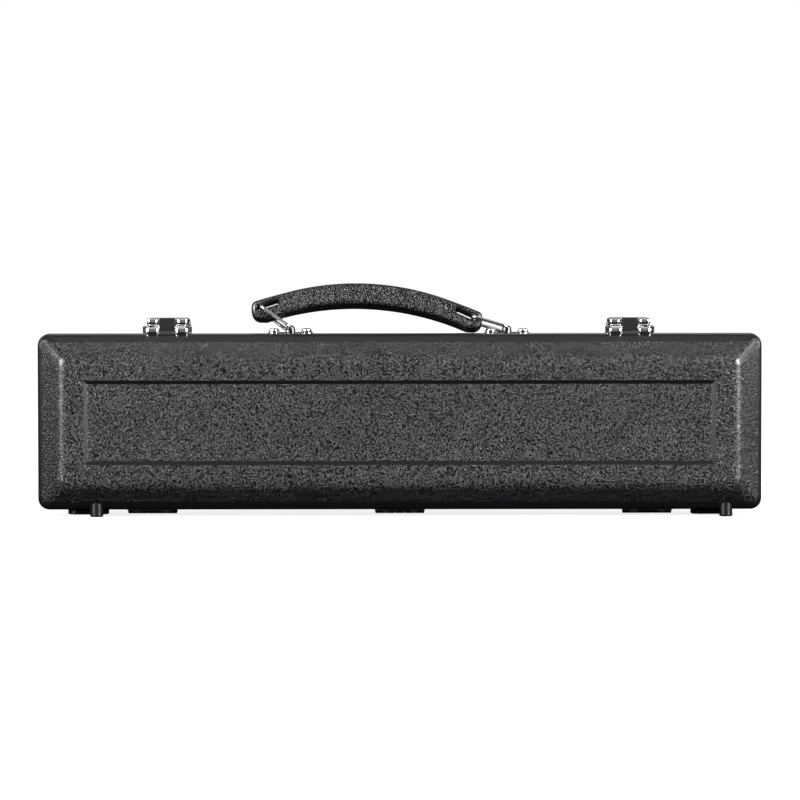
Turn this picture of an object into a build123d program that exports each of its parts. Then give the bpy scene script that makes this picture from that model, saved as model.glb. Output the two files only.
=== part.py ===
from build123d import *

import os
from math import cos, radians, sin, sqrt, tan

# Moulded instrument case for a flute. It stands on the feet beside its hinges: X runs along the
# case, the lid is on the -Y side, the base is on the +Y side and Z is up from the tips of the feet.
# Sizes are in millimetres.

# ---- shells
case_length = 419.0
case_height = 102.1
lid_depth = 26.0
base_depth = 29.0
wall = 2.5
wall_draft = 1.5  # degrees, for release from the mould
corner_radius = 6.5
bevel_run = 14.0
bevel_rise = 13.0
face_corner_radius = 5.0
ridge_radius = 9.0
edge_radius = 5.5

# ---- recessed panel in the face of each shell
panel_length = 363.0
panel_height = 48.4
panel_depth = 1.5
panel_slope = 2.0

# ---- rim
tongue_thickness = 1.1
tongue_height = 2.5
rim_clearance = 0.15
inner_corner_share = 0.8  # of an inset, that the inner corners' radius loses

# ---- feet
foot_height = 3.8
lid_foot_radius = 3.8
lid_foot_reach = 13.0
lid_foot_left_x = -175.2
lid_foot_right_x = 188.5
base_foot_length = 24.0
base_foot_width = 12.0
base_foot_reach = 13.5
base_foot_x = 182.0
foot_edge_radius = 0.8

# ---- hinges
hinge_spacing = 143.6
hinge_width = 28.3
hinge_leaf_length = 11.0
hinge_leaf_thickness = 0.8
hinge_seat_depth = 0.7
hinge_knuckles = 5
knuckle_radius = 1.6
knuckle_gap = 0.15
hinge_pin_radius = 0.8
hinge_drop = 1.0  # pin axis below the shells' bottom edge
hinge_rivet_reach = 7.0
hinge_rivet_spacing = 16.2
hinge_corner_radius = 1.5
hinge_pin_end = 0.3

# ---- shared fits and rivets
seat_clearance = 0.15
pin_clearance = 0.05
rivet_shank_radius = 1.25
rivet_clearance = 0.05
rivet_tail_thickness = 0.8
rivet_tail_radius = 2.2
rivet_head_radius = 2.25
rivet_head_height = 1.3
rivet_head_rounding = 0.6  # of its height

# ---- hardware on the top edge
top_hardware_x = -0.6
latch_spacing = 267.4
top_seat_depth = 0.5
plate_thickness = 1.0
plate_corner_radius = 1.0

# ---- latch keeper, on the lid
keeper_width = 28.0
keeper_back = 1.2
keeper_front = 12.6
keeper_notch_width = 9.5
keeper_lobe_height = 3.2
keeper_lobe_width = 7.25
keeper_lobe_depth = 3.3
keeper_lobe_radius = 1.5
keeper_lobe_edge_radius = 0.75
keeper_apron_thickness = 1.0
keeper_apron_drop = 0.5
keeper_curl_thickness = 1.9
keeper_curl_height = 4.1
keeper_curl_front = 12.0
keeper_curl_back = 5.0
keeper_curl_radius = 0.9
keeper_bar_height = 2.7
keeper_bar_thickness = 1.2
keeper_rivet_reach = 4.6
keeper_rivet_spacing = 18.0

# ---- latch lever and catch
lever_width = 23.5
lever_front = 10.4
lever_back = 18.0
lever_bottom = 4.05  # above the shells' top edge
lever_height = 4.8
lever_sheet = 1.0
lever_edge_radius = 1.7
lever_pivot_reach = 14.5
lever_pivot_height = 4.9
lever_ear_radius = 2.6
lever_pin_radius = 1.0
lever_pin_head_radius = 1.6
lever_pin_head_height = 0.5
lever_pin_play = 0.05
lever_lip_thickness = 2.2
lever_lip_radius = 1.3
catch_width = 8.7
catch_sheet = 1.0
catch_clearance = 0.1
catch_tip_height = 1.5  # above the shells' top edge
catch_back = 3.0

# ---- latch pan, on the base
pan_width = 21.0
pan_front = 1.2
pan_back = 17.5
pan_ear_thickness = 1.0
pan_ear_radius = 2.6
pan_rivet_reach = 5.5
pan_rivet_spacing = 11.0

# ---- handle posts
post_spacing = 126.0
post_reach = 8.5
post_length = 26.3
post_width = 8.0
post_end_radius = 3.5
strap_inner_radius = 1.9
strap_thickness = 0.8
strap_pivot_height = 1.9
post_rivet_spacing = 18.8
post_rivet_radius = 3.0
post_rivet_height = 2.2
post_rivet_cup_radius = 1.4
post_rivet_cup_depth = 0.8

# ---- handle rings
wire_radius = 1.0
ring_length = 20.8
ring_width = 19.8
ring_bend_radius = 2.4
ring_lean_left = 54.5  # degrees from upright, towards -X
ring_lean_right = 73.0
handle_lean = 11.0  # degrees, towards +Y

# ---- handle
grip_length = 134.4
grip_top = 16.85  # above the line between the rings' upper bars
grip_top_shoulder = 10.2
grip_shoulder_reach = 45.0
grip_top_end = 2.9
grip_bottom = 4.2
grip_bottom_end = -6.9
grip_bottom_reach = 58.0
grip_heel = -7.2
grip_heel_radius = 5.4
grip_toe_radius = 3.5
grip_depth = 19.2
grip_end_depth = 15.8
grip_edge_radius = 2.5
slot_slope = 22.0
slot_outward = 0.9
slot_inward = 9.4
slot_drop = 0.04
slot_clearance = 0.5
slot_chamfer = 0.9

# ---- interior
tray_gap = 1.6
tray_joint_z = 55.0  # where the tray's two mouldings meet
tray_top = 1.5  # below the parting plane
lining_thickness = 1.2
tray_floor = 20.0
body_channel_length = 352.0
body_channel_width = 38.0
body_channel_z = 31.0
head_channel_length = 232.0
head_channel_width = 30.0
foot_channel_length = 140.0
foot_channel_width = 38.0
upper_channel_z = 79.0
channel_side_margin = 11.0
channel_floor_radius = 7.0
channel_corner_radius = 6.0
scoop_radius = 15.0
scoop_corner_radius = 14.5
scoop_depth = 12.0
scoop_floor_radius = 5.0
scoop_left_x = -70.0
scoop_right_x = 120.0
scoop_z = 55.0
pad_face = 5.0  # below the parting plane

# ---- derived places
pick_margin = 0.01  # for picking edges by their place
drill_length = 4 * wall
parting_y = (lid_depth - base_depth) / 2
bottom_z = foot_height
top_z = foot_height + case_height
middle_z = foot_height + case_height / 2
draft_slope = tan(radians(wall_draft))

hinge_z = bottom_z - hinge_drop
hinge_seat_z = bottom_z + hinge_seat_depth
hinge_leaf_z = hinge_seat_z - hinge_leaf_thickness
hinge_xs = {"left": -hinge_spacing, "centre": 0.0, "right": hinge_spacing}

top_seat_z = top_z - top_seat_depth
plate_z = top_seat_z + plate_thickness
latch_xs = {"left": top_hardware_x - latch_spacing / 2, "right": top_hardware_x + latch_spacing / 2}
post_xs = {"left": top_hardware_x - post_spacing / 2, "right": top_hardware_x + post_spacing / 2}
apron_z = top_seat_z - keeper_apron_drop
lever_z = top_z + lever_bottom
lever_top_z = lever_z + lever_height
lever_pivot_z = top_z + lever_pivot_height
catch_front = lever_front - catch_clearance
keeper_bar_front = catch_front - catch_sheet - catch_clearance

tray_floor_y = base_depth - wall - panel_depth
pad_back = lid_depth - wall - panel_depth

LID, BASE = -1, 1  # the side of the parting plane that a shell is on
shell_depths = {LID: lid_depth, BASE: base_depth}
rivet_hole_radius = rivet_shank_radius + rivet_clearance

# directions in the plane that the rings and the handle lie in, which leans towards the base
lean_up = Vector(0, sin(radians(handle_lean)), cos(radians(handle_lean)))
lean_back = Vector(0, cos(radians(handle_lean)), -sin(radians(handle_lean)))


def ring_direction(angle):
    """Direction from a ring's pivot to its upper bar, leaning towards -X."""
    return Vector(-1, 0, 0) * sin(radians(angle)) + lean_up * cos(radians(angle))


pivots = {
    side: Vector(x, parting_y + post_reach, top_z + strap_pivot_height) for side, x in post_xs.items()
}
ring_directions = {"left": ring_direction(ring_lean_left), "right": ring_direction(ring_lean_right)}
bars = {side: pivots[side] + ring_directions[side] * ring_length for side in pivots}
grip_middle = (bars["left"] + bars["right"]) / 2
grip_along = (bars["right"] - bars["left"]).normalized()
bar_reach = (bars["right"] - bars["left"]).length / 2


def save(builder, name):
    """Label a finished piece and write it."""
    builder.part.label = name
    export_step(builder.part, f"parts/{name}.step")


def across(distance):
    """Plane parallel to the parting plane, at a distance towards the base, with its own Y up."""
    return Plane(origin=(0, parting_y + distance, 0), x_dir=(1, 0, 0), z_dir=(0, -1, 0))


def level(x, z):
    """Horizontal plane with its origin on the parting plane."""
    return Plane(origin=(x, parting_y, z), x_dir=(1, 0, 0), z_dir=(0, 0, 1))


def endways(x):
    """Plane square to X, with its own X towards the base and its own Y up."""
    return Plane(origin=(x, parting_y, 0), x_dir=(0, 1, 0), z_dir=(1, 0, 0))


def box_between(x0, x1, y0, y1, z0, z1):
    """Box between coordinates, with Y counted from the parting plane."""
    with BuildPart() as box:
        with BuildSketch(level(0, z0)):
            with Locations(((x0 + x1) / 2, (y0 + y1) / 2)):
                Rectangle(abs(x1 - x0), abs(y1 - y0))
        extrude(amount=z1 - z0)
    return box.part


def tapered_block(side, inset):
    """Solid that fills one shell to an inset from its outer walls, bevels and face."""
    depth = shell_depths[side]
    slant = sqrt(1 / bevel_run**2 + 1 / bevel_rise**2)
    face_margin = bevel_run * (1 + inset * (slant - 1 / bevel_rise)) + depth * draft_slope
    bevel_start = depth - bevel_rise * (1 + inset * (slant - 1 / bevel_run))
    rim_radius = corner_radius - inset * inner_corner_share
    sections = [
        (0, inset, rim_radius),
        (bevel_start, inset + bevel_start * draft_slope, rim_radius),
        (depth - inset, face_margin, face_corner_radius),
    ]
    with BuildPart() as block:
        for distance, margin, radius in sections:
            with BuildSketch(across(side * distance)):
                with Locations((0, middle_z)):
                    RectangleRounded(case_length - 2 * margin, case_height - 2 * margin, radius)
        loft(ruled=True)
    return block.part


def panel_block(side, start, margin):
    """Tapered slab of the recessed panel, from one depth inwards, wider by a margin all round."""
    with BuildPart() as block:
        for distance, shrink in ((start, 0), (start - panel_depth, panel_slope)):
            with BuildSketch(across(side * distance)):
                with Locations((0, middle_z)):
                    length = panel_length + 2 * margin - 2 * shrink
                    Rectangle(length, panel_height + 2 * margin - 2 * shrink)
        loft(ruled=True)
    return block.part


def rim_ring(outer_inset, inner_inset, height):
    """Ring along the rim, from the parting plane into the lid."""
    with BuildPart() as ring:
        with BuildSketch(across(0)):
            with Locations((0, middle_z)):
                for inset, mode in ((outer_inset, Mode.ADD), (inner_inset, Mode.SUBTRACT)):
                    length, breadth = case_length - 2 * inset, case_height - 2 * inset
                    RectangleRounded(length, breadth, corner_radius - inset, mode=mode)
        extrude(amount=height)
    return ring.part


def hinge_seats(side):
    """Pockets for the hinge leaves in a shell's bottom edge."""
    half = hinge_width / 2 + seat_clearance
    reach = side * (hinge_leaf_length + seat_clearance)
    return [box_between(x - half, x + half, 0, reach, 0, hinge_seat_z) for x in hinge_xs.values()]


def hinge_rivet_places(side):
    """Where rivets pass through one shell's hinge leaves."""
    return all_pairs(hinge_xs, hinge_rivet_spacing, side * hinge_rivet_reach)


def pair(x, spacing, reach):
    """Where two rivets pass through a plate on the top edge."""
    return [(x - spacing / 2, reach), (x + spacing / 2, reach)]


def all_pairs(xs, spacing, reach):
    """Where the rivets of both plates pass through the top edge."""
    return [place for x in xs.values() for place in pair(x, spacing, reach)]


keeper_rivet_places = all_pairs(latch_xs, keeper_rivet_spacing, -keeper_rivet_reach)
pan_rivet_places = all_pairs(latch_xs, pan_rivet_spacing, pan_rivet_reach)
post_rivet_places = all_pairs(post_xs, post_rivet_spacing, post_reach)


def holes(places, z):
    """Rivet holes through a wall or plate at a height."""
    with BuildPart() as drilled:
        with Locations([(x, parting_y + reach, z) for x, reach in places]):
            Cylinder(rivet_hole_radius, drill_length)
    return drilled.part


def outer_shell(side):
    """Outer form of a shell with its ridge and edge rounded and its panel sunk, still solid."""
    face = parting_y + side * shell_depths[side]
    edge = parting_y + side * (shell_depths[side] - bevel_rise)
    with BuildPart() as form:
        add(tapered_block(side, 0))
        fillet(form.edges().filter_by_position(Axis.Y, face - pick_margin, face + pick_margin), ridge_radius)
        fillet(form.edges().filter_by_position(Axis.Y, edge - pick_margin, edge + pick_margin), edge_radius)
        add(panel_block(side, shell_depths[side], 0), mode=Mode.SUBTRACT)
    return form.part


def cavity(side):
    """Inside of a shell, with the back of the sunk panel standing into it."""
    with BuildPart() as inside:
        add(tapered_block(side, wall))
        add(panel_block(side, shell_depths[side] - wall, wall / 2), mode=Mode.SUBTRACT)
    return inside.part


# ---- lid shell
with BuildPart() as lid_feet:
    with BuildSketch(level(0, 0)):
        with Locations((lid_foot_left_x, -lid_foot_reach), (lid_foot_right_x, -lid_foot_reach)):
            Circle(lid_foot_radius)
    extrude(amount=foot_height + 2 * wall)
    fillet(lid_feet.edges().group_by(Axis.Z)[0], foot_edge_radius)

with BuildPart() as lid_shell:
    add(outer_shell(LID))
    add(lid_feet.part)
    add(cavity(LID), mode=Mode.SUBTRACT)
    lip = wall - tongue_thickness - rim_clearance
    add(rim_ring(lip, wall + tongue_thickness, tongue_height + rim_clearance), mode=Mode.SUBTRACT)
    add(hinge_seats(LID), mode=Mode.SUBTRACT)
    for x in latch_xs.values():
        half = keeper_width / 2 + seat_clearance
        front = -keeper_front - seat_clearance
        add(box_between(x - half, x + half, front, 0, top_seat_z, top_z), mode=Mode.SUBTRACT)
        half = keeper_notch_width / 2 + keeper_lobe_width + seat_clearance
        back = -keeper_front + seat_clearance
        front = -keeper_front - keeper_apron_thickness - seat_clearance
        floor = apron_z - seat_clearance
        add(box_between(x - half, x + half, front, back, floor, top_z), mode=Mode.SUBTRACT)
    add(holes(hinge_rivet_places(LID), bottom_z), mode=Mode.SUBTRACT)
    add(holes(keeper_rivet_places, top_z), mode=Mode.SUBTRACT)
save(lid_shell, "lid_shell")

# ---- base shell
with BuildPart() as base_feet:
    with BuildSketch(level(0, 0)):
        with Locations((-base_foot_x, base_foot_reach), (base_foot_x, base_foot_reach)):
            SlotOverall(base_foot_length, base_foot_width)
    extrude(amount=foot_height + 2 * wall)
    fillet(base_feet.edges().group_by(Axis.Z)[0], foot_edge_radius)

with BuildPart() as base_shell:
    add(outer_shell(BASE))
    add(base_feet.part)
    add(cavity(BASE), mode=Mode.SUBTRACT)
    add(rim_ring(wall - tongue_thickness, wall, tongue_height))
    add(hinge_seats(BASE), mode=Mode.SUBTRACT)
    for x in latch_xs.values():
        half = pan_width / 2 + seat_clearance
        back = pan_back + seat_clearance
        add(box_between(x - half, x + half, 0, back, top_seat_z, top_z), mode=Mode.SUBTRACT)
    for x in post_xs.values():
        half = post_length / 2 + seat_clearance
        front = post_reach - post_width / 2 - seat_clearance
        back = post_reach + post_width / 2 + seat_clearance
        add(box_between(x - half, x + half, front, back, top_seat_z, top_z), mode=Mode.SUBTRACT)
    add(holes(hinge_rivet_places(BASE), bottom_z), mode=Mode.SUBTRACT)
    add(holes(pan_rivet_places + post_rivet_places, top_z), mode=Mode.SUBTRACT)
save(base_shell, "base_shell")


# ---- rivets
def rivet(x, reach, head_z, up, head_radius, head_height, cup_radius, cup_depth):
    """Rivet with its head at a height, whose shank runs through the wall to a tail inside."""
    inside = wall + draft_slope * (abs(reach) + rivet_tail_radius)
    wall_z = (top_z - inside) if up > 0 else (bottom_z + inside)
    grip = abs(head_z - wall_z)
    with BuildPart() as piece:
        plane = Plane(origin=(x, parting_y + reach, head_z), z_dir=(0, 0, up))
        with BuildSketch(plane):
            Circle(head_radius)
        extrude(amount=head_height)
        fillet(piece.faces().sort_by(Axis.Z)[-1 if up > 0 else 0].edges(), head_height * rivet_head_rounding)
        if cup_depth:
            with BuildSketch(plane.offset(head_height)):
                Circle(cup_radius)
            extrude(amount=-cup_depth, mode=Mode.SUBTRACT)
        with BuildSketch(plane):
            Circle(rivet_shank_radius)
        extrude(amount=-grip)
        with BuildSketch(plane.offset(-grip)):
            Circle(rivet_tail_radius)
        extrude(amount=-rivet_tail_thickness)
    return piece.part


for side, name in ((LID, "lid_hinge_rivets"), (BASE, "base_hinge_rivets")):
    with BuildPart() as hinge_rivets:
        for x, reach in hinge_rivet_places(side):
            add(rivet(x, reach, hinge_leaf_z, -1, rivet_head_radius, rivet_head_height, 0, 0))
    save(hinge_rivets, name)

for places, name in ((keeper_rivet_places, "keeper_rivets"), (pan_rivet_places, "pan_rivets")):
    with BuildPart() as plate_rivets:
        for x, reach in places:
            add(rivet(x, reach, plate_z, 1, rivet_head_radius, rivet_head_height, 0, 0))
    save(plate_rivets, name)

with BuildPart() as post_rivets:
    for x, reach in post_rivet_places:
        radius, height = post_rivet_radius, post_rivet_height
        add(rivet(x, reach, plate_z, 1, radius, height, post_rivet_cup_radius, post_rivet_cup_depth))
save(post_rivets, "post_rivets")


# ---- hinges
def hinge_leaf(side, x, bore_radius):
    """Leaf of one hinge, with every other knuckle cut away for the other leaf."""
    pitch = hinge_width / hinge_knuckles
    start = x - hinge_width / 2
    cut_half = knuckle_radius + knuckle_gap
    others = range(1, hinge_knuckles, 2) if side == BASE else range(0, hinge_knuckles, 2)
    with BuildPart() as leaf:
        with BuildSketch(endways(start)):
            with Locations((side * hinge_leaf_length / 2, hinge_seat_z - hinge_leaf_thickness / 2)):
                Rectangle(hinge_leaf_length, hinge_leaf_thickness)
            with Locations((0, hinge_z)):
                Circle(knuckle_radius)
                Circle(bore_radius, mode=Mode.SUBTRACT)
        extrude(amount=hinge_width)
        ends = leaf.edges().filter_by(Axis.Z).group_by(Axis.Y)[0 if side == LID else -1]
        fillet(ends, hinge_corner_radius)
        for n in others:
            x0 = start + n * pitch - knuckle_gap / 2
            x1 = x0 + pitch + knuckle_gap
            add(box_between(x0, x1, -cut_half, cut_half, 0, hinge_seat_z), mode=Mode.SUBTRACT)
        rivets = pair(x, hinge_rivet_spacing, side * hinge_rivet_reach)
        add(holes(rivets, hinge_seat_z), mode=Mode.SUBTRACT)
    return leaf


for place, x in hinge_xs.items():
    save(hinge_leaf(LID, x, hinge_pin_radius + pin_clearance), f"hinge_{place}_lid_leaf")
    save(hinge_leaf(BASE, x, hinge_pin_radius), f"hinge_{place}_base_leaf")
    with BuildPart() as hinge_pin:
        with BuildSketch(endways(x)):
            with Locations((0, hinge_z)):
                Circle(hinge_pin_radius)
        extrude(amount=hinge_width / 2 + hinge_pin_end, both=True)
        chamfer(hinge_pin.edges().filter_by(GeomType.CIRCLE), hinge_pin_end)
    save(hinge_pin, f"hinge_{place}_pin")


# ---- latches
def keeper_lobe(x, hand):
    """Domed lobe beside the keeper's notch, with an apron over the shell's rounded edge."""
    inner = x + hand * keeper_notch_width / 2
    outer = inner + hand * keeper_lobe_width
    front = -keeper_front - keeper_apron_thickness
    top = plate_z + keeper_lobe_height
    with BuildPart() as lobe:
        add(box_between(inner, outer, front, -keeper_front, apron_z, top))
        add(box_between(inner, outer, -keeper_front, front + keeper_lobe_depth, plate_z, top))
        fillet(lobe.edges().group_by(Axis.Z)[-1], keeper_lobe_radius)
        fillet(lobe.faces().sort_by(Axis.Y)[0].edges().filter_by(Axis.Z), keeper_lobe_edge_radius)
    return lobe.part


def keeper_curl(x, hand):
    """Rounded side wall at one end of the keeper."""
    outer = x + hand * keeper_width / 2
    inner = outer - hand * keeper_curl_thickness
    top = plate_z + keeper_curl_height
    with BuildPart() as curl:
        add(box_between(inner, outer, -keeper_curl_front, -keeper_curl_back, plate_z, top))
        fillet(curl.edges().group_by(Axis.Z)[-1], keeper_curl_radius)
    return curl.part


for place, x in latch_xs.items():
    with BuildPart() as keeper:
        half = keeper_width / 2
        add(box_between(x - half, x + half, -keeper_front, -keeper_back, top_seat_z, plate_z))
        fillet(keeper.edges().filter_by(Axis.Z), plate_corner_radius)
        for hand in (-1, 1):
            add(keeper_lobe(x, hand))
            add(keeper_curl(x, hand))
        notch_half = keeper_notch_width / 2
        bar_top = plate_z + keeper_bar_height
        bar_back = -keeper_bar_front + keeper_bar_thickness
        add(box_between(x - notch_half, x + notch_half, -keeper_bar_front, bar_back, plate_z, bar_top))
        add(holes(pair(x, keeper_rivet_spacing, -keeper_rivet_reach), plate_z), mode=Mode.SUBTRACT)
    save(keeper, f"latch_{place}_keeper")

    with BuildPart() as pan:
        half = pan_width / 2
        add(box_between(x - half, x + half, pan_front, pan_back, top_seat_z, plate_z))
        fillet(pan.edges().filter_by(Axis.Z), plate_corner_radius)
        for start in (x - half, x + half - pan_ear_thickness):
            with BuildSketch(endways(start)):
                with Locations((lever_pivot_reach, lever_pivot_z)):
                    Circle(pan_ear_radius)
                with Locations((lever_pivot_reach, (lever_pivot_z + plate_z) / 2)):
                    Rectangle(2 * pan_ear_radius, lever_pivot_z - plate_z)
            extrude(amount=pan_ear_thickness)
        with BuildSketch(endways(x)):
            with Locations((lever_pivot_reach, lever_pivot_z)):
                Circle(lever_pin_radius)
        extrude(amount=pan_width, both=True, mode=Mode.SUBTRACT)
        add(holes(pair(x, pan_rivet_spacing, pan_rivet_reach), plate_z), mode=Mode.SUBTRACT)
    save(pan, f"latch_{place}_pan")

    with BuildPart() as lever:
        half = lever_width / 2
        inner = half - lever_sheet
        slot = catch_width / 2 + catch_clearance
        lip_back = -lever_front + lever_lip_thickness
        add(box_between(x - half, x + half, -lever_front, lever_back, lever_z, lever_top_z))
        front_edges = lever.faces().sort_by(Axis.Y)[0].edges()
        long_edges = lever.edges().filter_by(Axis.Y).group_by(Axis.Z)[-1]
        fillet(front_edges + long_edges, lever_lip_radius)
        add(
            box_between(x - inner, x + inner, lip_back, lever_back, lever_z, lever_top_z - lever_sheet),
            mode=Mode.SUBTRACT,
        )
        add(
            box_between(x - slot, x + slot, -lever_front, lip_back, lever_z, lever_top_z - lever_sheet),
            mode=Mode.SUBTRACT,
        )
        add(
            box_between(x - slot, x + slot, -lever_front, -keeper_bar_front, lever_z, lever_top_z),
            mode=Mode.SUBTRACT,
        )
        for start in (x - half, x + half - lever_sheet):
            with BuildSketch(endways(start)):
                with Locations((lever_pivot_reach, lever_pivot_z)):
                    Circle(lever_ear_radius)
            extrude(amount=lever_sheet)
        with BuildSketch(endways(x)):
            with Locations((lever_pivot_reach, lever_pivot_z)):
                Circle(lever_pin_radius + pin_clearance)
        extrude(amount=lever_width, both=True, mode=Mode.SUBTRACT)
    save(lever, f"latch_{place}_lever")

    with BuildPart() as catch:
        half = catch_width / 2
        bend_y = -catch_front + catch_sheet
        under = lever_top_z - lever_sheet
        add(box_between(x - half, x + half, -catch_front, bend_y, top_z + catch_tip_height, lever_top_z))
        add(box_between(x - half, x + half, bend_y, catch_back, under - catch_sheet, under))
    save(catch, f"latch_{place}_catch")

    with BuildPart() as latch_pin:
        reach = lever_width / 2 + lever_pin_play
        with BuildSketch(endways(x)):
            with Locations((lever_pivot_reach, lever_pivot_z)):
                Circle(lever_pin_radius)
        extrude(amount=reach, both=True)
        for hand in (-1, 1):
            head_start = Plane(
                origin=(x + hand * reach, parting_y + lever_pivot_reach, lever_pivot_z), z_dir=(hand, 0, 0)
            )
            with BuildSketch(head_start):
                Circle(lever_pin_head_radius)
            extrude(amount=lever_pin_head_height)
    save(latch_pin, f"latch_{place}_pin")

# ---- handle posts
for place, x in post_xs.items():
    outer_radius = strap_inner_radius + strap_thickness
    pivot_z = top_z + strap_pivot_height
    with BuildPart() as post:
        with BuildSketch(across(post_reach + post_width / 2)):
            with Locations((x, (top_seat_z + plate_z) / 2)):
                Rectangle(post_length, plate_thickness)
            with Locations((x, pivot_z)):
                Circle(outer_radius)
            with Locations((x, (top_seat_z + pivot_z) / 2)):
                Rectangle(2 * outer_radius, pivot_z - top_seat_z)
            with Locations((x, pivot_z)):
                Circle(strap_inner_radius, mode=Mode.SUBTRACT)
            with Locations((x, pivot_z - outer_radius)):
                Rectangle(2 * strap_inner_radius, 2 * outer_radius, mode=Mode.SUBTRACT)
        extrude(amount=post_width)
        ends = post.edges().filter_by(Axis.Z).group_by(Axis.X)
        fillet(ends[0] + ends[-1], post_end_radius)
        add(holes(pair(x, post_rivet_spacing, post_reach), plate_z), mode=Mode.SUBTRACT)
    save(post, f"post_{place}")

# ---- handle rings
for place, pivot in pivots.items():
    upright = ring_directions[place]
    ring_plane = Plane(origin=pivot, x_dir=lean_back, z_dir=lean_back.cross(upright))
    half = ring_width / 2
    corners = [(-half, 0), (half, 0), (half, ring_length), (-half, ring_length)]
    with BuildPart() as ring:
        with BuildLine(ring_plane):
            loop = FilletPolyline(*corners, radius=ring_bend_radius, close=True)
        with BuildSketch(Plane(origin=loop @ 0, z_dir=loop % 0)):
            Circle(wire_radius)
        sweep(path=loop)
    save(ring, f"ring_{place}")

# ---- handle
grip_plane = Plane(origin=grip_middle, x_dir=grip_along, z_dir=-lean_back)
grip_top_plane = Plane(origin=grip_middle, x_dir=grip_along, z_dir=grip_plane.y_dir)
grip_half = grip_length / 2


slot_radius = wire_radius + slot_clearance
slot_shift = (slot_inward - slot_outward) / 2
slot_middle_x = bar_reach - slot_shift * cos(radians(slot_slope))
slot_middle_y = slot_shift * sin(radians(slot_slope)) - slot_drop
slot_places = [((hand * slot_middle_x, slot_middle_y, 0), (0, 0, -hand * slot_slope)) for hand in (-1, 1)]

with BuildPart() as grip_side:
    with BuildSketch(grip_plane) as side_view:
        with BuildLine():
            for hand in (-1, 1):
                Polyline(
                    (hand * grip_half, grip_top_end),
                    (hand * grip_half, grip_heel),
                    (hand * grip_bottom_reach, grip_bottom_end),
                )
            ThreePointArc(
                (-grip_bottom_reach, grip_bottom_end), (0, grip_bottom), (grip_bottom_reach, grip_bottom_end)
            )
            shoulders = [(hand * grip_shoulder_reach, grip_top_shoulder) for hand in (-1, 1)]
            arch = ThreePointArc(shoulders[0], (0, grip_top), shoulders[1])
            TangentArc(shoulders[0], (-grip_half, grip_top_end), tangent=arch % 0 * -1)
            TangentArc(shoulders[1], (grip_half, grip_top_end), tangent=arch % 1)
        make_face()
        corners = side_view.vertices().group_by(Axis.X)
        fillet((corners[0] + corners[-1]).filter_by_position(Axis.Y, 0, grip_top), grip_toe_radius)
        corners = side_view.vertices().filter_by_position(Axis.Y, grip_heel - pick_margin, grip_heel + pick_margin)
        fillet(corners, grip_heel_radius)
    extrude(amount=grip_depth, both=True)

with BuildPart() as handle:
    add(grip_side.part)
    with BuildSketch(grip_top_plane):
        with BuildLine():
            for hand in (-1, 1):
                ThreePointArc(
                    (-grip_half, hand * grip_end_depth / 2),
                    (0, hand * grip_depth / 2),
                    (grip_half, hand * grip_end_depth / 2),
                )
                Line((hand * grip_half, grip_end_depth / 2), (hand * grip_half, -grip_end_depth / 2))
        make_face()
    extrude(amount=2 * grip_top, both=True, mode=Mode.INTERSECT)
    sides = handle.faces().sort_by(Axis(grip_middle, lean_back))
    fillet(sides[0].edges() + sides[-1].edges(), grip_edge_radius)
    for middle, turn in slot_places:
        with BuildSketch(grip_plane):
            with Locations(Location(middle, turn)):
                SlotCenterToCenter(slot_inward + slot_outward, 2 * slot_radius)
        extrude(amount=grip_depth, both=True, mode=Mode.SUBTRACT)
        for face in (-1, 1):
            with BuildSketch(grip_plane.offset(face * grip_end_depth / 2)):
                with Locations(Location(middle, turn)):
                    SlotCenterToCenter(slot_inward + slot_outward, 2 * (slot_radius + slot_chamfer))
            extrude(amount=-face * slot_chamfer, taper=45, mode=Mode.SUBTRACT)
            with BuildSketch(grip_plane.offset(face * grip_end_depth / 2)):
                with Locations(Location(middle, turn)):
                    SlotCenterToCenter(slot_inward + slot_outward, 2 * (slot_radius + slot_chamfer))
            extrude(amount=face * grip_depth, mode=Mode.SUBTRACT)
save(handle, "handle")


# ---- interior
def trough(x, z, length, width, corner, floor_radius, depth, grow):
    """Round-bottomed hollow that opens towards the lid, grown all round by a thickness."""
    with BuildPart() as hollow:
        with BuildSketch(across(tray_top)):
            with Locations((x, z)):
                RectangleRounded(length + 2 * grow, width + 2 * grow, corner + grow)
        extrude(amount=-depth - grow)
        fillet(hollow.faces().sort_by(Axis.Y)[-1].edges(), floor_radius + grow)
    return hollow.part


def troughs(grow):
    """All of the tray's channels and finger scoops."""
    head_x = -tray_half_length + channel_side_margin + head_channel_length / 2
    foot_x = tray_half_length - channel_side_margin - foot_channel_length / 2
    channels = [
        (0, body_channel_z, body_channel_length, body_channel_width),
        (head_x, upper_channel_z, head_channel_length, head_channel_width),
        (foot_x, upper_channel_z, foot_channel_length, foot_channel_width),
    ]
    corner, floor = channel_corner_radius, channel_floor_radius
    with BuildPart() as hollows:
        for x, z, length, width in channels:
            add(trough(x, z, length, width, corner, floor, tray_floor, grow))
        for x in (scoop_left_x, scoop_right_x):
            scoop = 2 * scoop_radius
            rounding = scoop_corner_radius
            add(trough(x, scoop_z, scoop, scoop, rounding, scoop_floor_radius, scoop_depth, grow))
    return hollows.part


def slab(start, end, low, high):
    """Everything between two distances from the parting plane, towards the base, and two heights."""
    half = case_length / 2
    return box_between(-half, half, start, end, low, high)


tray_half_length = case_length / 2 - wall - tray_gap
grown_troughs = troughs(lining_thickness)

for place, low, high in (("lower", bottom_z, tray_joint_z), ("upper", tray_joint_z, top_z)):
    with BuildPart() as tray_core:
        add(tapered_block(BASE, wall + tray_gap))
        add(slab(tray_top + lining_thickness, tray_floor_y, low, high), mode=Mode.INTERSECT)
        add(grown_troughs, mode=Mode.SUBTRACT)
    save(tray_core, f"tray_core_{place}")

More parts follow.
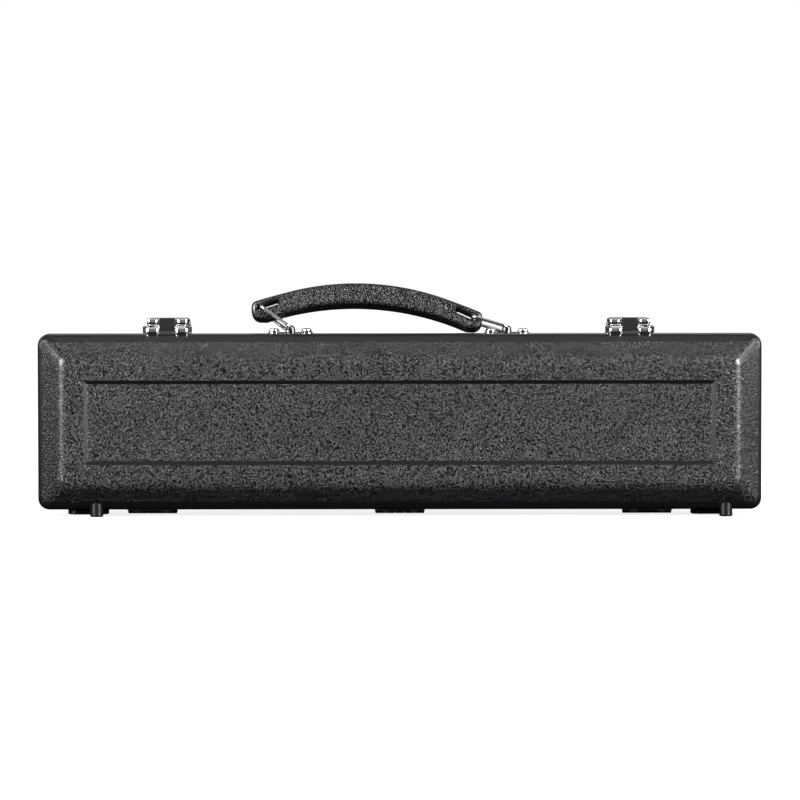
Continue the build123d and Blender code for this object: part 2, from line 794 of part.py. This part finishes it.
with BuildPart() as tray_lining:
    add(tapered_block(BASE, wall + tray_gap))
    add(slab(tray_top, tray_top + lining_thickness, bottom_z, top_z), mode=Mode.INTERSECT)
    add(grown_troughs)
    add(troughs(0), mode=Mode.SUBTRACT)
save(tray_lining, "tray_lining")

with BuildPart() as lid_pad:
    add(tapered_block(LID, wall + tray_gap))
    add(slab(-pad_back, -pad_face, bottom_z, top_z), mode=Mode.INTERSECT)
save(lid_pad, "lid_pad")
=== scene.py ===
"""A black moulded case for a flute, with chrome latches, a bow handle on rings and a plush-lined inside."""
import math

import bmesh
import bpy
from mathutils import Matrix, Vector


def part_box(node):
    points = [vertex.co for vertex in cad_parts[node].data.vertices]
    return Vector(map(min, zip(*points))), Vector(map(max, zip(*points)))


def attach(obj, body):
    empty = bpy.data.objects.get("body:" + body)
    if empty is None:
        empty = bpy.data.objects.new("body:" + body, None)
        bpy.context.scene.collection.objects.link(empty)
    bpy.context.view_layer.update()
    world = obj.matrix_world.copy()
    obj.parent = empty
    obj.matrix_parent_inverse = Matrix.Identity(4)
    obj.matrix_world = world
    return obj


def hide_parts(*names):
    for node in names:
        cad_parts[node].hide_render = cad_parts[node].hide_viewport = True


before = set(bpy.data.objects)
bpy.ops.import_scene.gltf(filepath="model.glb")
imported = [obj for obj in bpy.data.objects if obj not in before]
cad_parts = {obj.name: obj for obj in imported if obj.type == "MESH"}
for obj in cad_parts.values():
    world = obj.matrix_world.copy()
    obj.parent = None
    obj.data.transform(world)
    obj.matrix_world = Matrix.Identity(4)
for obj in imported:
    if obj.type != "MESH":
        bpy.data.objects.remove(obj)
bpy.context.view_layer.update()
MM = 0.001
SCENE = bpy.context.scene


# ---------------------------------------------------------------- node helpers
class Nodes:
    """A short way to write node trees: values and sockets go in, a socket comes out."""

    def __init__(self, tree):
        self.tree = tree
        tree.nodes.clear()

    def add(self, kind, inputs=None, **settings):
        node = self.tree.nodes.new(kind)
        for key, value in settings.items():
            setattr(node, key, value)
        for key, value in (inputs or {}).items():
            self.put(node.inputs[key], value)
        return node

    def put(self, socket, value):
        if isinstance(value, bpy.types.NodeSocket):
            self.tree.links.new(value, socket)
        else:
            socket.default_value = value

    def math(self, operation, a, b=0.0):
        return self.add("ShaderNodeMath", {0: a, 1: b}, operation=operation).outputs[0]

    def away_from(self, value, middle, reach):
        """How far a value lies beyond middle +- reach: negative inside."""
        offset = self.math("ABSOLUTE", self.math("SUBTRACT", value, middle))
        return self.math("SUBTRACT", offset, reach)

    def step(self, value, low, high, to_low=0.0, to_high=1.0):
        node = self.add("ShaderNodeMapRange", {"Value": value, "From Min": low, "From Max": high,
                        "To Min": to_low, "To Max": to_high}, interpolation_type="SMOOTHSTEP")
        return node.outputs["Result"]

    def noise(self, vector, scale, detail=2.0, roughness=0.5, distortion=0.0):
        node = self.add("ShaderNodeTexNoise", {"Vector": vector, "Scale": scale, "Detail": detail,
                        "Roughness": roughness, "Distortion": distortion})
        return node.outputs["Fac"]

    def mix(self, factor, a, b):
        node = self.add("ShaderNodeMix", data_type="RGBA")
        self.put(node.inputs[0], factor)
        self.put(node.inputs[6], a)
        self.put(node.inputs[7], b)
        return node.outputs[2]

    def bump(self, height, distance):
        inputs = {"Height": height, "Distance": distance, "Strength": 1.0}
        return self.add("ShaderNodeBump", inputs).outputs["Normal"]

    def place(self):
        """Object coordinates in metres, their X, Y and Z, and the X, Y and Z of the surface's normal."""
        coordinates = self.add("ShaderNodeTexCoord")
        split = self.add("ShaderNodeSeparateXYZ", {0: coordinates.outputs["Object"]})
        facing = self.add("ShaderNodeSeparateXYZ", {0: coordinates.outputs["Normal"]})
        return coordinates.outputs["Object"], list(split.outputs), list(facing.outputs)


def material(name):
    """A new material with a Principled shader: the material, its nodes and the shader."""
    made = bpy.data.materials.new(name)
    made.use_nodes = True
    nodes = Nodes(made.node_tree)
    shader = nodes.add("ShaderNodeBsdfPrincipled")
    nodes.add("ShaderNodeOutputMaterial", {"Surface": shader.outputs[0]})
    return made, nodes, shader


def colour(red, green, blue):
    """A colour written as 0 to 255 on screen."""
    def linear(level):
        share = level / 255
        return share / 12.92 if share <= 0.04045 else ((share + 0.055) / 1.055) ** 2.4
    return (linear(red), linear(green), linear(blue), 1.0)


# ---------------------------------------------------------------- materials
PANEL_MIDDLE_Z = 0.05485
PANEL_REACH_X = 0.1815
PANEL_REACH_Z = 0.0242
RIM_REACH_X = 0.2062
RIM_REACH_Z = 0.0460
GRAIN_SCALE = 1120.0
GRAIN_WARP = 0.002
SHELL_GRAIN_DEPTH = 0.00016
GRIP_GRAIN_DEPTH = 0.00009
# Grain colours: crests painted lighter as a painted highlight, valleys painted near black as painted shade.
CREST_PAINTED_HIGHLIGHT = colour(36, 34, 38)
VALLEY_PAINTED_SHADE = colour(2, 2, 3)
SMOOTH_BLACK = colour(12, 11, 13)


def leather_grain(nodes, where):
    """Pressed leather grain: crooked ridges under 1 mm wide, closely packed, as a height from 0 to 1."""
    warp = nodes.add("ShaderNodeTexNoise", {"Vector": where, "Scale": 300.0, "Detail": 1.0})
    shift = nodes.add("ShaderNodeVectorMath", {0: warp.outputs["Color"], 1: (GRAIN_WARP,) * 3},
                      operation="MULTIPLY")
    bent = nodes.add("ShaderNodeVectorMath", {0: where, 1: shift.outputs[0]}, operation="ADD").outputs[0]
    return nodes.step(nodes.noise(bent, GRAIN_SCALE, 0.5, 0.4, 0.8), 0.44, 0.62)


def make_grained(name, mask_of, depth):
    """Moulded black plastic with a leather grain wherever mask_of allows it, smooth elsewhere. The grain's
    crests are painted lighter as a painted highlight and its valleys painted near black as painted shade,
    over random broad patches of tone.
    """
    made, nodes, shader = material(name)
    where, place, facing = nodes.place()
    grain = leather_grain(nodes, where)
    mask = mask_of(nodes, place, facing)
    broad = nodes.noise(where, 60.0, 2.0, 0.5)
    height = nodes.math("MULTIPLY", grain, mask)
    nodes.put(shader.inputs["Normal"], nodes.bump(height, depth))
    # Painted highlight on the grain's crests, varied in random broad patches of tone; painted shade in its
    # valleys.
    crest_light_in_patches = nodes.math("MULTIPLY", grain, nodes.step(broad, 0.3, 0.7, 0.8, 1.0))
    grained = nodes.mix(crest_light_in_patches, VALLEY_PAINTED_SHADE, CREST_PAINTED_HIGHLIGHT)
    nodes.put(shader.inputs["Base Color"], nodes.mix(mask, SMOOTH_BLACK, grained))
    rough = nodes.step(grain, 0.0, 1.0, 0.24, 0.26)
    nodes.put(shader.inputs["Roughness"], nodes.step(mask, 0.0, 1.0, 0.26, rough))
    return made


def shell_mask(nodes, place, facing):
    """Grain on the faces and bevels, but not on the walls round the rim, the feet or the panel's border."""
    x, _, z = place
    flat = nodes.step(nodes.math("ABSOLUTE", facing[1]), 0.25, 0.50)
    from_panel_x = nodes.away_from(x, 0.0, PANEL_REACH_X)
    from_panel_z = nodes.away_from(z, PANEL_MIDDLE_Z, PANEL_REACH_Z)
    edge = nodes.math("MAXIMUM", from_panel_x, from_panel_z)
    past_slope = nodes.step(edge, -0.0024, -0.0019)
    before_face = nodes.step(edge, 0.0, 0.0003, 1.0, 0.0)
    border = nodes.math("MULTIPLY", past_slope, before_face)
    from_rim_x = nodes.away_from(x, 0.0, RIM_REACH_X)
    from_rim_z = nodes.away_from(z, PANEL_MIDDLE_Z, RIM_REACH_Z)
    rim = nodes.step(nodes.math("MAXIMUM", from_rim_x, from_rim_z), -0.0006, 0.0012, 1.0, 0.0)
    inside = nodes.math("SUBTRACT", 1.0, border)
    return nodes.math("MULTIPLY", flat, nodes.math("MULTIPLY", rim, inside))


def handle_mask(nodes, place, facing):
    """Grain on the front and back, smooth underneath."""
    return nodes.step(nodes.math("ABSOLUTE", facing[1]), 0.45, 0.75)


def make_chrome():
    """Polished plate with a faint ripple."""
    made, nodes, shader = material("chrome_plate")
    where, _, _ = nodes.place()
    ripple = nodes.noise(where, 220.0, 2.0, 0.5)
    nodes.put(shader.inputs["Normal"], nodes.bump(ripple, 0.00002))
    shader.inputs["Base Color"].default_value = (0.93, 0.93, 0.94, 1.0)
    shader.inputs["Metallic"].default_value = 1.0
    shader.inputs["Roughness"].default_value = 0.08
    return made


def make_dark_coat(name, level, roughness):
    """Even dark grey under a thin gloss: enamel, blackened steel and the tray's moulding."""
    made, nodes, shader = material(name)
    where, _, _ = nodes.place()
    ripple = nodes.noise(where, 500.0, 3.0, 0.6)
    nodes.put(shader.inputs["Normal"], nodes.bump(ripple, 0.00004))
    shader.inputs["Base Color"].default_value = colour(level, level, level)
    shader.inputs["Roughness"].default_value = roughness
    shader.inputs["Coat Weight"].default_value = 0.3
    return made


def make_plush():
    """Short dark-blue pile, with patches painted lighter as painted sheen where the nap lies the other way,
    and painted shade down between the pile's tips.
    """
    made, nodes, shader = material("plush")
    where, _, _ = nodes.place()
    pile = nodes.noise(where, 1800.0, 3.0, 0.7)
    nap = nodes.step(nodes.noise(where, 45.0, 3.0, 0.6, 0.8), 0.38, 0.62)
    nodes.put(shader.inputs["Normal"], nodes.bump(pile, 0.0005))
    # Painted sheen: nap patches painted lighter or darker, standing in for light falling on pile that lies
    # the other way.
    shade = nodes.mix(nap, colour(7, 9, 20), colour(13, 16, 34))
    # Painted shade down between the pile's tips: low spots of the pile are painted near black.
    pile_tip_light = nodes.math("MULTIPLY", pile, 0.5)
    nodes.put(shader.inputs["Base Color"], nodes.mix(pile_tip_light, colour(3, 4, 10), shade))
    shader.inputs["Roughness"].default_value = 0.95
    shader.inputs["Specular IOR Level"].default_value = 0.08
    shader.inputs["Sheen Weight"].default_value = 0.12
    shader.inputs["Sheen Roughness"].default_value = 0.4
    return made


SHELL = make_grained("black_moulded_shell", shell_mask, SHELL_GRAIN_DEPTH)
GRIP = make_grained("black_moulded_handle", handle_mask, GRIP_GRAIN_DEPTH)
CHROME = make_chrome()
ENAMEL = make_dark_coat("black_enamel", 22, 0.3)
DARK_STEEL = make_dark_coat("blackened_steel", 14, 0.30)
PLUSH = make_plush()
TRAY = make_dark_coat("tray_block", 30, 0.6)


def material_of(name):
    """The material of a CAD node, by its name."""
    if name.endswith(("_lid_leaf", "_base_leaf", "_hinge_rivets")):
        return ENAMEL
    if name.startswith("hinge_") and name.endswith("_pin"):
        return ENAMEL
    if name.endswith("_catch"):
        return DARK_STEEL
    if name.endswith("_shell"):
        return SHELL
    if name == "handle":
        return GRIP
    if name in ("tray_lining", "lid_pad"):
        return PLUSH
    if name.startswith("tray_core"):
        return TRAY
    return CHROME


for name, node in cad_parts.items():
    node.data.materials.clear()
    node.data.materials.append(material_of(name))


# ---------------------------------------------------------------- pressed fronts of the latches
CASE_TOP = 105.9
LATCH_MIDDLES = {"left": -134.3, "right": 133.1}
LEVER_FRONT = {"near": 5.4, "far": 11.75, "bottom": 4.1, "top": 8.85, "back": -11.1, "bulge": 1.5}
KEEPER_FRONT = {"near": 4.8, "far": 12.1, "bottom": -1.7, "top": 3.75, "back": -14.6, "bulge": 1.3}
DOME_RINGS = 9
DOME_SPOKES = 48
DOME_SKIRT = 0.8
CROWN_POWER = 2.6
OUTLINE_POWER = 4


def make_dome(name, middle, hand, front, body):
    """A pillow-shaped pressing of polished sheet: rounded outline, crowned towards the front."""
    across = (front["far"] - front["near"]) / 2
    rise = (front["top"] - front["bottom"]) / 2
    centre_x = middle + hand * (front["near"] + front["far"]) / 2
    centre_z = CASE_TOP + (front["bottom"] + front["top"]) / 2
    mesh = bmesh.new()

    def vertex(x, depth, z):
        return mesh.verts.new((MM * x, MM * depth, MM * z))

    loops = []
    for ring in range(1, DOME_RINGS + 2):
        share = min(ring / DOME_RINGS, 1.0)
        depth = front["back"] - front["bulge"] * math.sqrt(max(0.0, 1 - share ** CROWN_POWER))
        if ring > DOME_RINGS:
            depth = front["back"] + DOME_SKIRT
        loop = []
        for spoke in range(DOME_SPOKES):
            angle = 2 * math.pi * spoke / DOME_SPOKES
            c, r = math.cos(angle), math.sin(angle)
            reach = share / (abs(c) ** OUTLINE_POWER + abs(r) ** OUTLINE_POWER) ** (1 / OUTLINE_POWER)
            loop.append(vertex(centre_x + across * reach * c, depth, centre_z + rise * reach * r))
        loops.append(loop)
    crown = vertex(centre_x, front["back"] - front["bulge"], centre_z)
    for spoke in range(DOME_SPOKES):
        after = (spoke + 1) % DOME_SPOKES
        mesh.faces.new((crown, loops[0][spoke], loops[0][after]))
        for inner, outer in zip(loops, loops[1:]):
            mesh.faces.new((inner[spoke], outer[spoke], outer[after], inner[after]))
    mesh.faces.new(loops[-1])
    bmesh.ops.recalc_face_normals(mesh, faces=mesh.faces)
    data = bpy.data.meshes.new(name)
    mesh.to_mesh(data)
    mesh.free()
    piece = bpy.data.objects.new(name, data)
    SCENE.collection.objects.link(piece)
    data.materials.append(CHROME)
    for face in data.polygons:
        face.use_smooth = len(face.vertices) < DOME_SPOKES
    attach(piece, body)


for side, middle in LATCH_MIDDLES.items():
    for hand, word in ((-1, "a"), (1, "b")):
        make_dome(f"lever_{side}_front_{word}", middle, hand, LEVER_FRONT, f"lever_{side}")
        make_dome(f"keeper_{side}_front_{word}", middle, hand, KEEPER_FRONT, "lid")


# ---------------------------------------------------------------- soft inside
LINING_VOXEL = 0.0011
CUSHION_VOXEL = 0.004
CUSHION_SHRINK = (0.988, 0.80, 0.965)
CUSHION_PRESSURE = 4.0
CUSHION_FRAMES = 20
CUSHION_LIFT = 0.005


def copy_of(name, node):
    """A free copy of a CAD node's mesh, to be modelled further."""
    piece = bpy.data.objects.new(name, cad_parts[node].data.copy())
    SCENE.collection.objects.link(piece)
    piece.data.materials.clear()
    piece.data.materials.append(PLUSH)
    return piece


def apply(piece, kind, **settings):
    """Adds a modifier and applies it to the piece's mesh."""
    modifier = piece.modifiers.new(kind.lower(), kind)
    for key, value in settings.items():
        setattr(modifier, key, value)
    bpy.context.view_layer.update()
    baked = bpy.data.meshes.new_from_object(piece.evaluated_get(bpy.context.evaluated_depsgraph_get()))
    piece.modifiers.clear()
    piece.data = baked


def hold_inside(piece, low, high):
    """Moves every vertex that lies outside a box onto the box."""
    for vertex in piece.data.vertices:
        for axis in range(3):
            vertex.co[axis] = min(max(vertex.co[axis], low[axis]), high[axis])


def shade_smooth(piece):
    for face in piece.data.polygons:
        face.use_smooth = True


def make_tray_lining():
    """Plush drawn over the tray: the moulded form with softened lips."""
    low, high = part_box("tray_lining")
    piece = copy_of("tray_plush", "tray_lining")
    apply(piece, "REMESH", mode="VOXEL", voxel_size=LINING_VOXEL)
    apply(piece, "SMOOTH", factor=0.6, iterations=6)
    hold_inside(piece, low, high)
    shade_smooth(piece)
    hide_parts("tray_lining")
    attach(piece, "base")


def make_lid_pad():
    """Plush cushion in the lid: blown up a little as cloth, then held inside the space it has."""
    low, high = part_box("lid_pad")
    piece = copy_of("lid_cushion", "lid_pad")
    middle = [(a + b) / 2 for a, b in zip(low, high)]
    for vertex in piece.data.vertices:
        for axis in range(3):
            vertex.co[axis] = middle[axis] + (vertex.co[axis] - middle[axis]) * CUSHION_SHRINK[axis]
    apply(piece, "REMESH", mode="VOXEL", voxel_size=CUSHION_VOXEL)
    rest = [vertex.co.copy() for vertex in piece.data.vertices]
    cloth = piece.modifiers.new("cloth", "CLOTH")
    cloth.settings.use_pressure = True
    cloth.settings.uniform_pressure_force = CUSHION_PRESSURE
    cloth.settings.effector_weights.gravity = 0.0
    for step in range(1, CUSHION_FRAMES + 1):
        SCENE.frame_set(step)
    blown = bpy.data.meshes.new_from_object(piece.evaluated_get(bpy.context.evaluated_depsgraph_get()))
    piece.modifiers.clear()
    piece.data = blown
    SCENE.frame_set(1)
    for vertex, start in zip(piece.data.vertices, rest):
        moved = vertex.co - start
        vertex.co = start + moved * min(1.0, CUSHION_LIFT / max(moved.length, 1e-6))
    apply(piece, "SUBSURF", levels=1)
    hold_inside(piece, low, high)
    shade_smooth(piece)
    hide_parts("lid_pad")
    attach(piece, "lid")


make_tray_lining()
make_lid_pad()


# ---------------------------------------------------------------- stage, light and camera
LIGHT_AIM = Vector((0.0, 0.0, 0.06))
WHITE = (1, 1, 1, 1)


def direction(azimuth, elevation):
    """Unit vector from the object: azimuth 0 is the camera's side and 90 the right, in degrees."""
    a, e = math.radians(azimuth), math.radians(elevation)
    return Vector((math.sin(a) * math.cos(e), -math.cos(a) * math.cos(e), math.sin(e)))


def area_light(name, azimuth, elevation, distance, width, height, power):
    """A softbox on a sphere round the object, which the camera doesn't see."""
    data = bpy.data.lights.new(name, "AREA")
    data.shape = "RECTANGLE"
    data.size = width
    data.size_y = height
    data.energy = power
    lamp = bpy.data.objects.new(name, data)
    SCENE.collection.objects.link(lamp)
    away = direction(azimuth, elevation)
    lamp.location = LIGHT_AIM + away * distance
    lamp.rotation_euler = away.to_track_quat("Z", "Y").to_euler()
    lamp.visible_camera = False


def seen_directly(nodes):
    """1 for rays from the camera or through glass, and 0 for the rest."""
    path = nodes.add("ShaderNodeLightPath")
    return nodes.math("MAXIMUM", path.outputs["Is Camera Ray"], path.outputs["Is Transmission Ray"])


def make_world():
    """White where it is seen, and dim as light: a faint sky and a glow behind the object."""
    world = bpy.data.worlds.new("studio")
    SCENE.world = world
    world.use_nodes = True
    nodes = Nodes(world.node_tree)
    seen = seen_directly(nodes)
    way = nodes.add("ShaderNodeTexCoord")
    towards = nodes.add("ShaderNodeSeparateXYZ", {0: way.outputs["Generated"]}).outputs
    overhead = nodes.step(towards["Z"], 0.0, 0.9, 0.0, 0.04)
    rear = nodes.step(towards["Y"], 0.2, 0.7, 0.0, 0.5)
    above_floor = nodes.step(towards["Z"], -0.02, 0.1)
    glow = nodes.math("MAXIMUM", overhead, nodes.math("MULTIPLY", rear, above_floor))
    lit = nodes.add("ShaderNodeBackground", {"Color": WHITE, "Strength": glow})
    white = nodes.add("ShaderNodeBackground", {"Color": WHITE, "Strength": 1.0})
    both = nodes.add("ShaderNodeMixShader", {0: seen, 1: lit.outputs[0], 2: white.outputs[0]})
    nodes.add("ShaderNodeOutputWorld", {"Surface": both.outputs[0]})


def make_floor():
    """Pale floor that takes the shadow where it is seen and gives almost no light back."""
    bpy.ops.mesh.primitive_plane_add(size=30.0, location=(0, 0, 0))
    floor = bpy.context.object
    floor.name = "floor"
    made = bpy.data.materials.new("pale_floor")
    made.use_nodes = True
    nodes = Nodes(made.node_tree)
    seen = seen_directly(nodes)
    spot = nodes.add("ShaderNodeTexCoord").outputs["Object"]
    away = nodes.add("ShaderNodeVectorMath", {0: spot}, operation="LENGTH").outputs["Value"]
    far = nodes.step(away, 0.25, 0.9, 0.80, 1.0)
    pale = nodes.add("ShaderNodeBsdfDiffuse", {"Color": (0.30, 0.30, 0.30, 1)})
    glowing = nodes.add("ShaderNodeEmission", {"Color": WHITE, "Strength": far})
    lit = nodes.add("ShaderNodeAddShader", {0: pale.outputs[0], 1: glowing.outputs[0]})
    dim = nodes.add("ShaderNodeBsdfDiffuse", {"Color": (0.006, 0.006, 0.006, 1)})
    both = nodes.add("ShaderNodeMixShader", {0: seen, 1: dim.outputs[0], 2: lit.outputs[0]})
    nodes.add("ShaderNodeOutputMaterial", {"Surface": both.outputs[0]})
    floor.data.materials.append(made)


VIEW_TARGET = Vector((0.0002, -0.0015, 0.0670))
VIEW_DISTANCE = 2.2
VIEW_WIDTH = 0.4648
VIEW_ELEVATION = 2.0
VIEW_ROLL = -0.06
SENSOR_WIDTH = 36.0


def make_camera():
    data = bpy.data.cameras.new("camera")
    data.sensor_width = SENSOR_WIDTH
    data.lens = SENSOR_WIDTH * VIEW_DISTANCE / VIEW_WIDTH
    data.clip_start = 0.05
    camera = bpy.data.objects.new("camera", data)
    SCENE.collection.objects.link(camera)
    away = direction(0.0, VIEW_ELEVATION)
    camera.location = VIEW_TARGET + away * VIEW_DISTANCE
    roll = Matrix.Rotation(math.radians(VIEW_ROLL), 3, "Z")
    camera.rotation_euler = (away.to_track_quat("Z", "Y").to_matrix() @ roll).to_euler()
    SCENE.camera = camera


area_light("left_front", -50, 19, 1.8, 0.6, 1.1, 88)
area_light("right_front", 51, 19, 1.8, 0.6, 1.1, 106)
area_light("left_side", -92, 19, 1.8, 0.4, 1.1, 6)
area_light("right_side", 92, 19, 1.8, 0.4, 1.1, 12)
area_light("front", 0, 17, 2.5, 2.0, 1.5, 1.6)
area_light("top_front", 0, 55, 1.7, 1.6, 0.5, 2.0)
area_light("top", 0, 88, 1.7, 1.6, 0.4, 2.0)
make_world()
make_floor()
make_camera()
SCENE.view_settings.view_transform = "Standard"
